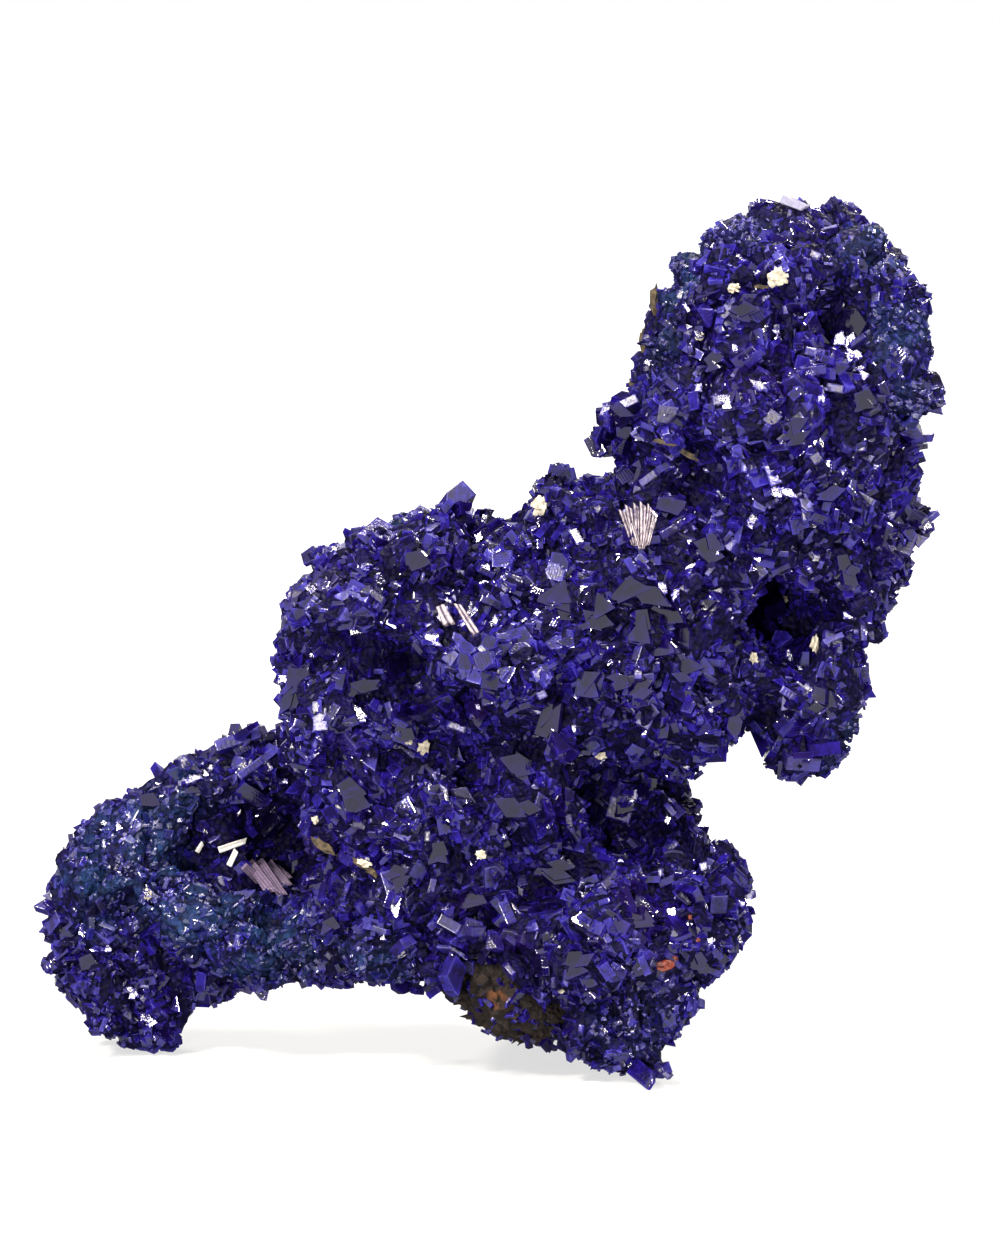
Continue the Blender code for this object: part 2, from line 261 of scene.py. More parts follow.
def makeAzurite():
    material, tree, shader = newMaterial("azurite crystals")
    coords = coordinates(tree, "Object")
    own = attribute(tree, "ownPlace", "Vector")
    toneAndShade, teal, dull = (attribute(tree, name) for name in ("toneAndShade", "teal", "dull"))
    shares = azurite["shares"]
    # each crystal has its own stretch of the inner cloud
    steps = [times(tree, value, step) for value, step in zip((toneAndShade, dull), azurite["cloudSteps"])]
    apart = addNode(tree, "ShaderNodeCombineXYZ", dict(enumerate(steps))).outputs[0]
    inside = addNode(tree, "ShaderNodeVectorMath", {0: own, 1: apart}, operation="ADD").outputs[0]
    cloud = noiseTexture(tree, inside, azurite["cloudScale"], 3.0, 0.65)
    grain = noiseTexture(tree, coords, azurite["grainScale"], 2.0, 0.6)
    # painted highlight: the colour is lighter toward the rims of each crystal
    rim = mapRange(tree, vectorMeasure(tree, "LENGTH", own), *azurite["rim"])
    glow = added(tree, times(tree, cloud, shares["cloud"]), times(tree, grain, shares["grain"]), rim)
    # the clearest faces are even
    haze = mapRange(tree, dull, 0.0, azurite["clearReach"], azurite["clearGlow"], 1.0)
    # the tone holds random tone and the painted shade of clefts and hollows
    glow = added(tree, times(tree, glow, haze), times(tree, toneAndShade, shares["toneAndShade"]))
    gap = addNode(tree, "ShaderNodeSeparateXYZ", {0: attribute(tree, "edgeGap", "Vector")}).outputs
    nearest = maths(tree, "MINIMUM", maths(tree, "MINIMUM", gap[0], gap[1]), gap[2])
    # painted highlight: the colour is lighter along the facets' edges, in patches; the same edges also sink a
    # little in the bump
    edge = mapRange(tree, nearest, *azurite["edgeWidth"], 1.0, 0.0)
    patchy = noiseTexture(tree, coords, azurite["veinScale"], 2.0)
    glow = added(tree, glow, times(tree, edge, mapRange(tree, patchy, *azurite["edgeHighlight"])))
    # thin bright veins: where a noise crosses its middle value
    crossing = maths(tree, "ABSOLUTE", maths(tree, "SUBTRACT", cloud, 0.5))
    vein = mapRange(tree, crossing, 0.0, azurite["veinWidth"], azurite["veinGlow"], 0.0)
    glow = added(tree, glow, times(tree, vein, dull))
    colour = azurite["deep"]
    for name, (start, full, share) in azurite["colourSteps"].items():
        colour = mixColour(tree, mapRange(tree, glow, start, full, 0.0, share), colour, azurite[name])
    violet = noiseTexture(tree, coords, azurite["violetScale"], 2.0)
    colour = mixColour(tree, mapRange(tree, violet, *azurite["violetPatches"]), colour, azurite["violet"])
    rough = mapRange(tree, dull, *azurite["roughReach"], azurite["smooth"], azurite["rough"])
    feed(tree, shader, {"Base Color": mixColour(tree, teal, colour, azurite["teal"]), "Roughness": rough})
    shader.inputs["IOR"].default_value = azurite["ior"]
    striae = striaeTexture(tree, own, *azurite["striae"])
    height = added(tree, times(tree, striae, azurite["striaeHeight"]), grain)
    height = added(tree, height, times(tree, cloud, azurite["waves"]))
    height = maths(tree, "SUBTRACT", height, times(tree, edge, azurite["edgeDrop"]))
    addBump(tree, shader, height, mapRange(tree, dull, 0.0, 1.0, *azurite["bumpStrength"]), azurite["bump"])
    return material


underLook = {
    # the mass's own deep blue, kept darker than the crystals as painted shade, so that the gaps between them
    # read as shadow
    "colour": (0.0008, 0.0004, 0.006, 1.0),
    "high": (0.0050, 0.0025, 0.046, 1.0),
    "teal": (0.0020, 0.0045, 0.022, 1.0),
    "tealHigh": (0.014, 0.044, 0.130, 1.0),
    "roughness": 0.6,
    "specular": 0.1,
    "cellScale": 2400.0,
    "cellGlow": (0.4, 1.0, 0.0, 0.8),
    "grainScale": 2600.0,
    "grainGlow": (0.35, 0.65, 0.0, 0.5),
    "bump": (0.9, 0.25),  # strength, mm
}


def makeUnderMaterial():
    material, tree, shader = newMaterial("azurite mass")
    coords = coordinates(tree, "Object")
    inputs = {"Vector": coords, "Scale": underLook["cellScale"]}
    cells = addNode(tree, "ShaderNodeTexVoronoi", inputs, feature="F1")
    cell = addNode(tree, "ShaderNodeSeparateColor", {0: cells.outputs["Color"]}).outputs[0]
    grain = mapRange(tree, noiseTexture(tree, coords, underLook["grainScale"], 4.0), *underLook["grainGlow"])
    grain = maths(tree, "ADD", grain, mapRange(tree, cell, *underLook["cellGlow"]), clamp=True)
    colour = mixColour(tree, grain, underLook["colour"], underLook["high"])
    green = mixColour(tree, grain, underLook["teal"], underLook["tealHigh"])
    feed(tree, shader, {"Base Color": mixColour(tree, attribute(tree, "teal"), colour, green)})
    shader.inputs["Roughness"].default_value = underLook["roughness"]
    shader.inputs["Specular IOR Level"].default_value = underLook["specular"]
    addBump(tree, shader, cells.outputs["Distance"], *underLook["bump"])
    return material


limoniteLook = {
    "dark": (0.0035, 0.0025, 0.0025, 1.0),
    "brown": (0.022, 0.011, 0.006, 1.0),
    "orange": (0.105, 0.034, 0.008, 1.0),
    "roughness": 0.85,
    "broadScale": 900.0,  # per metre, where the orange spreads
    "fineScale": 1900.0,
    "mottle": (0.35, 0.65, 0.0, 1.0),
    "stainPixel": (496, 1001),
    "stainReach": (0.4, 1.5),  # mm
    "stainPull": 0.30,
    "stainPatches": (0.68, 0.80, 0.0, 1.0),
    "bump": (1.0, 0.4),  # strength, mm
}


# mottled brown, with an orange stain around one point
def makeLimonite(stain):
    material, tree, shader = newMaterial("limonite")
    coords = coordinates(tree, "Object")
    broad = noiseTexture(tree, coords, limoniteLook["broadScale"], 4.0, 0.65)
    fine = noiseTexture(tree, coords, limoniteLook["fineScale"], 5.0, 0.7)
    mottle = mapRange(tree, fine, *limoniteLook["mottle"])
    colour = mixColour(tree, mottle, limoniteLook["dark"], limoniteLook["brown"])
    away = vectorMeasure(tree, "DISTANCE", coords, stain)
    reach = [edge * mm for edge in limoniteLook["stainReach"]]
    near = mapRange(tree, away, *reach, limoniteLook["stainPull"], 0.0)
    patch = mapRange(tree, added(tree, broad, near), *limoniteLook["stainPatches"])
    feed(tree, shader, {"Base Color": mixColour(tree, patch, colour, limoniteLook["orange"])})
    shader.inputs["Roughness"].default_value = limoniteLook["roughness"]
    addBump(tree, shader, fine, *limoniteLook["bump"])
    return material


paleLook = {
    # two tones and the roughness
    # the fan's and the bulge blades' pale tone is a painted glint on their striated faces; the dark tone is
    # their own
    "fan": ((0.030, 0.016, 0.050, 1.0), (0.72, 0.62, 0.64, 1.0), 0.15),
    "plate": ((0.150, 0.105, 0.185, 1.0), (0.33, 0.26, 0.37, 1.0), 0.25),
    # a painted highlight: the pale tone of a lit facet on the top of the head
    "litFacet": ((0.19, 0.185, 0.28, 1.0), (0.30, 0.295, 0.41, 1.0), 0.45),
    # the rods' own white, raised to full white as a painted glint
    "rods": ((0.75, 0.72, 0.68, 1.0), (0.98, 0.96, 0.92, 1.0), 0.35),
    "cream": ((0.24, 0.20, 0.14, 1.0), (0.66, 0.62, 0.52, 1.0), 0.55),
    "tan": ((0.006, 0.004, 0.003, 1.0), (0.110, 0.078, 0.040, 1.0), 0.8),
    "red": ((0.020, 0.002, 0.002, 1.0), (0.170, 0.018, 0.004, 1.0), 0.4),
}
paleLines = {"fan": 0.55, "plate": 1.1, "rods": 0.5}  # growth lines across the piece
paleSurface = {
    "grainScale": 2400.0,
    "mottle": (0.32, 0.68, 0.0, 1.0),
    "lines": (1.2, 3.0),  # distortion, detail
    "bump": (0.8, 0.06),  # strength, mm
}


# the pale and earthy specks: two tones mottled, with growth lines along the fan and the rods
def makePale(name):
    material, tree, shader = newMaterial(name)
    *tones, roughness = paleLook[name]
    height = noiseTexture(tree, coordinates(tree, "Object"), paleSurface["grainScale"], 5.0, 0.7)
    factor = mapRange(tree, height, *paleSurface["mottle"])
    if name in paleLines:
        own = attribute(tree, "ownPlace", "Vector")
        striae = striaeTexture(tree, own, paleLines[name], *paleSurface["lines"])
        factor = times(tree, factor, striae)
        height = added(tree, striae, height)
    feed(tree, shader, {"Base Color": mixColour(tree, factor, *tones)})
    shader.inputs["Roughness"].default_value = roughness
    addBump(tree, shader, height, *paleSurface["bump"])
    return material


azuriteMaterial = makeAzurite()
underMaterial = makeUnderMaterial()
paleMaterials = {name: makePale(name) for name in paleLook}
print("stage: materials made")


# The mass that the crystals stand on

mass = {
    "voxel": 0.55,  # mm
    "smoothing": 10,
    "inset": 0.45,  # mm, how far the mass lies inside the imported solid
    "clumpSize": 5.0,  # mm, the clumps that the druse grows in
    "cleftDepth": 1.3,  # mm, the clefts between them
    "cleftWidth": 5.0,  # the higher, the narrower
    "grainSize": 1.3,
    "grainDepth": 0.22,
    "weld": 0.001,
    "offGround": 0.05,
}

# dark hollows, swells and knobs that are pulled in: photograph pixel, reach in mm, depth in mm
hollows = {
    "dark": [
        (846, 318, 2.7, 3.0), (778, 280, 1.4, 1.2), (902, 410, 2.3, 2.6), (812, 548, 2.0, 1.8),
        (775, 610, 2.2, 1.5), (735, 690, 3.2, 3.0), (350, 655, 2.4, 2.0), (405, 675, 2.6, 2.6),
        (452, 712, 2.2, 2.2), (520, 600, 1.6, 1.4), (285, 835, 3.4, 3.0), (250, 870, 2.4, 2.0),
        (125, 915, 2.2, 1.4), (470, 770, 2.4, 2.0), (600, 800, 2.4, 2.0), (700, 790, 3.0, 2.6),
        (420, 830, 2.2, 1.4), (700, 470, 2.0, 1.2), (322, 640, 1.8, 1.3), (565, 705, 2.0, 1.3),
        (520, 852, 2.0, 1.2), (480, 932, 1.8, 1.1), (668, 338, 1.8, 1.1), (872, 470, 2.0, 1.2),
        (330, 765, 2.2, 1.6), (692, 850, 2.2, 1.4),
    ],
    "swells": [
        (905, 345, 6.5, -1.5), (872, 235, 4.0, -0.6), (655, 278, 4.0, -1.1), (790, 205, 5.5, -1.2),
        (835, 215, 3.5, -0.8),
    ],
    "knobs": [(942, 540, 3.0, 1.0), (942, 412, 4.8, 2.4), (590, 425, 3.2, 1.7), (546, 462, 3.0, 1.4)],
}
hollowGain = (1.15, 1.3)  # on every reach and depth

# balls added where the solid's outline falls short of the photograph's: middle, radii in mm, lean in degrees
fills = {
    "left rim": [
        ((-24.3, 3.2, 15.4), (4.4, 4.6, 3.7), 0.0), ((-27.7, 3.0, 12.4), (4.0, 4.8, 4.2), 0.0),
        ((-27.4, 3.2, 7.6), (4.8, 4.8, 5.4), 0.0), ((-18.2, 1.2, 7.0), (4.8, 4.4, 2.7), 0.0),
        ((-11.5, 1.2, 6.9), (5.2, 4.4, 2.5), 0.0),
    ],
    "column": [((23.6, 0.5, 25.3), (3.5, 5.4, 6.2), 15.0)],
    "bulge": [
        ((-4.2, 0.0, 37.4), (2.5, 4.0, 2.6), 0.0), ((-8.8, 0.0, 35.3), (3.0, 4.5, 2.8), 0.0),
        ((-12.0, 0.0, 28.8), (3.5, 5.0, 3.2), 0.0),
    ],
    "head": [((13.6, -0.5, 49.3), (4.3, 5.5, 4.2), 0.0)],
    "right lobe": [
        ((14.9, -3.5, 11.6), (4.1, 6.0, 5.6), 0.0), ((13.3, 0.0, 17.9), (2.5, 4.6, 2.3), 0.0),
        ((12.8, -4.0, 6.5), (3.4, 4.5, 4.3), 0.0),
    ],
    "left foot": [((-19.6, 3.2, 5.6), (3.4, 4.2, 2.9), 0.0), ((-25.2, 3.4, 2.8), (3.6, 4.6, 3.4), 0.0)],
    "right edge": [((26.8, 0.5, 35.3), (3.4, 5.0, 3.4), 0.0)],
}


# from 0 in a cleft between two clumps to 1 on them
def cleftAt(place):
    near = noise.voronoi(Vector(place) / mm / mass["clumpSize"])[0]
    return min(1.0, (near[1] - near[0]) * mass["cleftWidth"])


def treeOf(obj):
    mesh = obj.data
    return BVHTree.FromPolygons([v.co for v in mesh.vertices], [tuple(p.vertices) for p in mesh.polygons])


# the point of a mass that a pixel of the photograph shows: just outside its outline, the nearest point on it
def pixelPoint(px, py, tree=None):
    tree = tree or massTree
    hit = tree.ray_cast(eye, pixelRay(px, py))[0]
    if hit is None:
        level = eye + pixelRay(px, py) * view["distance"] * mm
        hit = tree.find_nearest(level)[0]
    return hit


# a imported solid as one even, rounded skin, together with the balls added to it
def skinOf(nodeName, name, look, balls=()):
    bm = bmesh.new()
    bm.from_mesh(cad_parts[nodeName].data)
    bmesh.ops.remove_doubles(bm, verts=bm.verts, dist=look["weld"] * mm)
    for middle, radii, lean in balls:
        place = Matrix.Translation(Vector(middle) * mm) @ Matrix.Rotation(math.radians(lean), 4, "Y")
        ball = place @ Matrix.Diagonal([radius * mm for radius in radii] + [1.0])
        bmesh.ops.create_icosphere(bm, subdivisions=3, radius=1.0, matrix=ball)
    obj = linkObject(name, meshFrom(bm, name))
    skin = obj.modifiers.new("skin", "REMESH")
    skin.mode = "VOXEL"
    skin.voxel_size = look["voxel"] * mm
    smooth = obj.modifiers.new("smooth", "SMOOTH")
    smooth.factor = 0.5
    smooth.iterations = look["smoothing"]
    bakeModifiers(obj)
    return obj


# the hollows, swells and knobs on a skin: kind, middle, reach in metres, depth in mm
def dentsOn(tree):
    for kind, dents in hollows.items():
        for px, py, reach, depth in dents:
            centre = np.array(pixelPoint(px, py, tree))
            yield kind, centre, reach * hollowGain[0] * mm, depth * hollowGain[1]


def makeMass():
    obj = skinOf("azurite_crystals", "azurite_mass", mass, rowsOf(fills))
    points = readArray(obj.data.vertices, "co", 3)
    normals = readArray(obj.data.vertices, "normal", 3)
    shift = np.empty(len(points), dtype=np.float32)
    for i, place in enumerate(points):
        grain = noise.noise(Vector(place) / mm / mass["grainSize"])
        shift[i] = grain * mass["grainDepth"] - mass["inset"] - (1.0 - cleftAt(place)) * mass["cleftDepth"]
    dark = []
    for kind, centre, reach, depth in dentsOn(treeOf(obj)):
        if kind == "dark":
            dark.append((centre, reach))
        shift -= nearness(points, centre, reach) * depth
    points += normals * shift[:, None] * mm
    points[:, 2] = np.maximum(points[:, 2], mass["offGround"] * mm)
    obj.data.vertices.foreach_set("co", points.ravel())
    obj.data.update()
    obj.data.materials.clear()
    obj.data.materials.append(underMaterial)
    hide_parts("azurite_crystals")
    return finishPiece(obj), dark


massObject, darkPlaces = makeMass()
massTree = treeOf(massObject)
print("stage: mass made,", len(massObject.data.polygons), "faces")


# The limonite on the underside, roughened

limoniteShape = {
    # mm, but for the number of smoothing rounds
    "voxel": 0.20,
    "weld": 0.001,
    "smoothing": 8,
    "lump": 1.0,
    "lumpDepth": 0.65,
    "grit": 0.4,
    "gritDepth": 0.25,
    "inset": 0.25,
}


def makeLimoniteMesh():
    obj = skinOf("limonite_matrix", "limonite_rough", limoniteShape)
    for vert in obj.data.vertices:
        where = vert.co / mm
        lump = noise.noise(where / limoniteShape["lump"]) * limoniteShape["lumpDepth"]
        grit = noise.noise(where / limoniteShape["grit"]) * limoniteShape["gritDepth"]
        vert.co += vert.normal * (lump + grit - limoniteShape["inset"]) * mm
    obj.data.materials.clear()
    obj.data.materials.append(makeLimonite(pixelPoint(*limoniteLook["stainPixel"], treeOf(obj))))
    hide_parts("limonite_matrix")
    return finishPiece(obj)


limoniteObject = makeLimoniteMesh()
print("stage: limonite made,", len(limoniteObject.data.polygons), "faces")


# Crystal forms: tablets thin along Y, about one unit across, with cut corners and wedged ends

# a block with corners and edges cut off by planes, each a normal and a distance from the middle
def cutCrystal(size, cuts):
    bm = bmesh.new()
    bmesh.ops.create_cube(bm, size=1.0, matrix=Matrix.Diagonal((*size, 1.0)))
    for normal, reach in cuts:
        normal = Vector(normal).normalized()
        geometry = list(bm.verts) + list(bm.edges) + list(bm.faces)
        cut = bmesh.ops.bisect_plane(
            bm, geom=geometry, plane_co=normal * reach, plane_no=normal, clear_outer=True
        )
        rim = [part for part in cut["geom_cut"] if isinstance(part, bmesh.types.BMEdge)]
        if rim:
            bmesh.ops.edgenet_fill(bm, edges=rim)
    bmesh.ops.recalc_face_normals(bm, faces=bm.faces)
    bm.faces.ensure_lookup_table()
    facet = bm.faces.layers.int.new("facet")
    for face in bm.faces:
        face[facet] = face.index
    bmesh.ops.triangulate(bm, faces=bm.faces)
    points = np.array([v.co for v in bm.verts], dtype=np.float32)
    faces = np.array([[v.index for v in f.verts] for f in bm.faces], dtype=np.int32)
    facets = np.array([f[facet] for f in bm.faces], dtype=np.int32)
    # which edge across from each corner is an edge of the crystal, and no mere diagonal of a facet
    sharp = np.array(
        [[len({f[facet] for f in face.loops[i].edge.link_faces}) > 1 for i in (1, 2, 0)] for face in bm.faces]
    )
    bm.free()
    return points, faces, facets, sharp


crystalForms = {
    "rhomb": ((1.3, 0.34, 0.80), (((1, 0, 0.6), 0.36), ((-1, 0, -0.6), 0.38))),
    "wedge": ((0.85, 0.44, 1.00), (((0.3, 0.9, 1.0), 0.34), ((-0.3, -1.0, 0.8), 0.33))),
    "hexagon": ((1.0, 0.30, 0.9), (((1, 0, 0.62), 0.40), ((-1, 0, 0.62), 0.42), ((1, 0, -0.62), 0.43))),
    "blade": ((0.62, 0.22, 1.15), (((0.9, 0, 1.0), 0.46), ((0, 1.0, 0.8), 0.38))),
    "stout": ((0.85, 0.66, 0.80), (((0.8, 0.7, 0.9), 0.42), ((-0.9, 0.5, 0.6), 0.40))),
    "chisel": ((1.05, 0.32, 0.90), (((0.15, 1.0, 1.3), 0.36), ((-0.7, -0.9, 1.0), 0.36))),
    "lozenge": ((1.0, 0.28, 1.0), (((1, 0.2, 1), 0.42), ((-1, -0.2, -1), 0.46))),
    "plate": ((1.5, 0.30, 0.80), (((1, 0, 0.7), 0.38), ((-1, 0, -0.7), 0.38))),
    "corner": ((1.2, 0.34, 1.0), (((1, 0, 0.55), 0.30), ((-1, 0, 0.75), 0.30))),
    "slab": ((1.0, 0.30, 1.0), (((1, 0, 0.25), 0.40), ((-0.3, 0, -1), 0.44))),
    "kite": ((1.0, 0.30, 1.1), (((1, 0, 0.75), 0.36), ((-1, 0, 1.6), 0.40))),
    "grain": ((0.9, 0.55, 0.9), (((0.8, 0.4, 1.0), 0.36),)),
}
forms = [cutCrystal(*crystalForms[name]) for name in crystalForms]
print("stage: crystal forms,", {n: len(f[1]) for n, f in zip(crystalForms, forms)}, "triangles")


# Where the druse is fine, and where it is teal: photograph pixel, reach in mm, fineness, teal

textureSpots = {
    "rim": [
        (120, 860, 6.0, 0.75, 0.62), (190, 900, 5.0, 0.8, 0.72), (260, 955, 5.0, 0.85, 0.72),
        (170, 790, 3.5, 0.5, 0.45),
    ],
    "low edge": [(360, 975, 4.0, 0.7, 0.5), (430, 985, 3.0, 0.6, 0.35)],
    "head": [
        (682, 275, 3.2, 1.0, 0.8), (745, 228, 3.6, 1.0, 0.12), (880, 240, 3.6, 0.95, 0.4),
        (905, 330, 3.4, 0.85, 0.45), (922, 400, 2.6, 0.8, 0.4), (660, 350, 2.2, 0.7, 0.45),
    ],
    "bulge": [(390, 525, 2.6, 0.8, 0.55)],
    "column": [(840, 740, 3.0, 0.6, 0.4)],
    "right lobe": [(640, 1020, 4.5, 0.55, 0.12)],
    "left foot": [(100, 1000, 5.0, 0.45, 0.0)],
}
# patches of fine druse and of teal: size in mm, middle and gain of the noise, what is left at least, the rest
patches = {"fineness": (2.6, 0.5, 1.0, 0.65, 0.55), "teal": (1.7, 0.45, 1.5, 0.08, 1.05)}
leastFineness = 0.02


textureFields = [
    (np.array(pixelPoint(px, py)), reach * mm, fineness, teal)
    for px, py, reach, fineness, teal in rowsOf(textureSpots)
]


def patchAt(kind, point):
    size, middle, gain, least, rest = patches[kind]
    value = middle + gain * noise.noise(Vector(point) / mm / size)
    return least + rest * min(1.0, max(0.0, value))


# fineness and teal, from 0 to 1, for each point
def fieldsAt(points):
    fineness = np.zeros(len(points))
    teal = np.zeros(len(points))
    for centre, reach, fine, green in textureFields:
        near = nearness(points, centre, reach, 0.4, 1.2)
        fineness = np.maximum(fineness, near * fine)
        teal = np.maximum(teal, near * green)
    for i in np.nonzero(fineness > leastFineness)[0]:
        fineness[i] *= patchAt("fineness", points[i])
        teal[i] *= patchAt("teal", points[i])
    return fineness, teal


massTeal = fieldsAt(readArray(massObject.data.vertices, "co", 3))[1]
layer = massObject.data.attributes.new("teal", "FLOAT", "POINT")
layer.data.foreach_set("value", massTeal.astype(np.float32))


# The druse: crystals scattered over the mass in bunches that share a direction

druse = {
    "seed": 5,
    "bunches": 1500,
    "bunchShare": 0.74,  # share of crystals that follow their bunch's direction
    "bunchStray": 0.11,  # how far they stray from it, as a quaternion part
    "classes": {
        # count, length in mm from and to, how proud the outermost corner stands from and to
        "large": (9500, (1.4, 2.6), (0.20, 0.70)),
        "middle": (21500, (0.9, 1.7), (0.12, 0.68)),
        "small": (9500, (0.45, 1.0), (0.12, 0.55)),
        "grain": (46000, (0.30, 0.64), (0.18, 0.50)),
    },
    # the thin druse on the limonite
    "thin": {"small": (420, (0.45, 1.1), (0.10, 0.50))},
    "thinBunches": 60,
    "thinnest": {"large": 3.0, "middle": 1.6},  # mm of mass that a crystal needs below it
    "leastCleft": 0.3,  # large crystals keep out of the clefts
    "scarce": {"large": 1.8, "middle": 0.65},  # how much rarer they are where the druse is fine
    "grazing": {"large": 0.45, "middle": 0.15},  # how much smaller they are along the outline
    "grazingReach": (0.15, 0.5),
    "widths": (0.75, 1.15),  # to the length, from and to
    "thicknesses": (0.7, 1.3),
    "corner": 0.48,  # how far a corner reaches, to its size
    "facetShare": 0.45,  # how much the tint differs from face to face
    # what fine druse, hollows and clefts take from a crystal or add to it; what hollows and clefts take from
    # the tone is painted shade
    "fine": {"length": 0.55, "rise": 0.45, "toneAndShade": 0.2, "dull": 0.5},
    "hollow": {"toneAndShade": 0.75, "dull": 0.6},
    "cleft": {"rise": 0.55, "toneAndShade": 0.45},  # the share that is left at the bottom
    "bunchTint": (0.55, 0.45),  # shares of the bunch and of chance
    "tealSpread": (0.3, 1.3),
    "dullness": (0.1, 0.9, 2.6),  # least, range and how rare the dull ones are
}


# lists of crystals' values (matrix, form, tone with painted shade, teal, dullness), joined to one of each
def joined(parts):
    return [np.concatenate(values) for values in zip(*parts)]


# points spread evenly over a mesh, with its smooth normals
def scatter(mesh, count, rng):
    mesh.calc_loop_triangles()
    corners = np.empty(len(mesh.loop_triangles) * 3, dtype=np.int32)
    mesh.loop_triangles.foreach_get("vertices", corners)
    corners = corners.reshape(-1, 3)
    points = readArray(mesh.vertices, "co", 3).astype(np.float64)
    normals = readArray(mesh.vertices, "normal", 3).astype(np.float64)
    a, b, c = (points[corners[:, i]] for i in range(3))
    area = np.linalg.norm(np.cross(b - a, c - a), axis=1)
    pick = rng.choice(len(corners), size=count, p=area / area.sum())
    u, v = rng.random(count), rng.random(count)
    over = u + v > 1.0
    u[over], v[over] = 1.0 - u[over], 1.0 - v[over]
    shares = np.stack([1.0 - u - v, u, v], axis=1)
    place, normal = ((values[corners[pick]] * shares[:, :, None]).sum(axis=1) for values in (points, normals))
    return place, normal / np.linalg.norm(normal, axis=1)[:, None]


# random quaternions, and the rotation matrices of an array of them (w, x, y, z)
def anyTurns(count, rng):
    values = rng.normal(size=(count, 4))
    return values / np.linalg.norm(values, axis=1)[:, None]


def turns(quaternions):
    w, x, y, z = (quaternions / np.linalg.norm(quaternions, axis=1)[:, None]).T
    rows = (
        (1 - 2 * (y * y + z * z), 2 * (x * y - z * w), 2 * (x * z + y * w)),
        (2 * (x * y + z * w), 1 - 2 * (x * x + z * z), 2 * (y * z - x * w)),
        (2 * (x * z - y * w), 2 * (y * z + x * w), 1 - 2 * (x * x + y * y)),
    )
    return np.stack([np.stack(row, axis=-1) for row in rows], axis=-2)


# from 0 outside the hollows to 1 in the middle of one
def hollowness(points):
    deep = np.zeros(len(points))
    for centre, reach in darkPlaces:
        deep = np.maximum(deep, nearness(points, centre, reach, 0.2, 1.1))
    return deep


# how thick the mass is below each point
def throughMass(points, normals):
    depth = np.full(len(points), 1.0)
    for i, (point, normal) in enumerate(zip(points, normals)):
        inwards = -Vector(normal)
        hit = massTree.ray_cast(Vector(point) + inwards * 0.1 * mm, inwards)
        if hit[0] is not None:
            depth[i] = hit[3]
    return depth


# how much smaller a class is where the surface turns away from the camera
def grazingLoss(name, normals):
    facing = np.abs(normals @ np.array(eye.normalized()))
    return druse["grazing"].get(name, 0.0) * (1.0 - smoothStep(*druse["grazingReach"], facing))


def growDruse(rng, surface, classes, bunches):
    places, _ = scatter(surface, bunches, rng)
    bunchTurn = anyTurns(bunches, rng)
    bunchTint = rng.random(bunches)
    tree = KDTree(len(places))
    for i, place in enumerate(places):
        tree.insert(place, i)
    tree.balance()
    fine, hollow, low = druse["fine"], druse["hollow"], druse["cleft"]
    parts = []
    for name, (count, lengths, proud) in classes.items():
        points, normals = scatter(surface, count, rng)
        fineness, teal = fieldsAt(points)
        cleft = np.array([cleftAt(p) for p in points])
        chance = fineness if name == "grain" else 1.0 - druse["scarce"].get(name, 0.0) * fineness
        keep = rng.random(count) < chance
        if name == "large":
            keep &= cleft > druse["leastCleft"]
        if name in druse["thinnest"]:
            keep &= throughMass(points, normals) > druse["thinnest"][name] * mm
        points, normals, cleft, fineness, teal = (v[keep] for v in (points, normals, cleft, fineness, teal))
        count = len(points)
        deep = hollowness(points)
        nearest = np.array([tree.find(p)[1] for p in points])
        own = anyTurns(count, rng)
        follow = rng.random(count) < druse["bunchShare"]
        strayed = bunchTurn[nearest] + rng.normal(size=(count, 4)) * druse["bunchStray"]
        turn = turns(np.where(follow[:, None], strayed, own))
        full = 1.0 - grazingLoss(name, normals)
        shrink = 0.0 if name == "grain" else fine["length"]
        length = rng.uniform(*lengths, count) * full * (1.0 - shrink * fineness) * mm
        width, thickness = rng.uniform(*druse["widths"], count), rng.uniform(*druse["thicknesses"], count)
        size = length[:, None] * np.stack([width, thickness, np.ones(count)], axis=1)
        linear = turn * size[:, None, :]
        reach = druse["corner"] * np.abs(np.einsum("nji,nj->ni", linear, normals)).sum(axis=1)
        rise = rng.uniform(*proud, count) * full * (1.0 - fine["rise"] * fineness)
        rise *= (low["rise"] + (1.0 - low["rise"]) * cleft) * mm
        centre = points + normals * (rise - reach)[:, None]
        matrix = np.concatenate([linear, centre[:, :, None]], axis=2)
        bunchPart, ownPart = druse["bunchTint"]
        toneAndShade = np.clip(bunchPart * bunchTint[nearest] + ownPart * rng.random(count), 0, 1)
        toneAndShade = np.clip(toneAndShade + fine["toneAndShade"] * fineness, 0, 1)
        # painted shade: crystals in the clefts and in the dark hollows are darkened
        toneAndShade *= (low["toneAndShade"] + (1.0 - low["toneAndShade"]) * cleft) * (1.0 - hollow["toneAndShade"] * deep)
        green = np.clip(teal * rng.uniform(*druse["tealSpread"], count), 0, 1)
        least, spread, power = druse["dullness"]
        dull = least + spread * rng.random(count) ** power + fine["dull"] * fineness + hollow["dull"] * deep
        last = len(forms) - 1
        form = np.full(count, last) if name == "grain" else rng.integers(0, last, count)
        parts.append((matrix, form, toneAndShade, green, np.clip(dull, 0, 1)))
    return parts


# Light: the lamps that glint in the crystals and the screens that they mirror

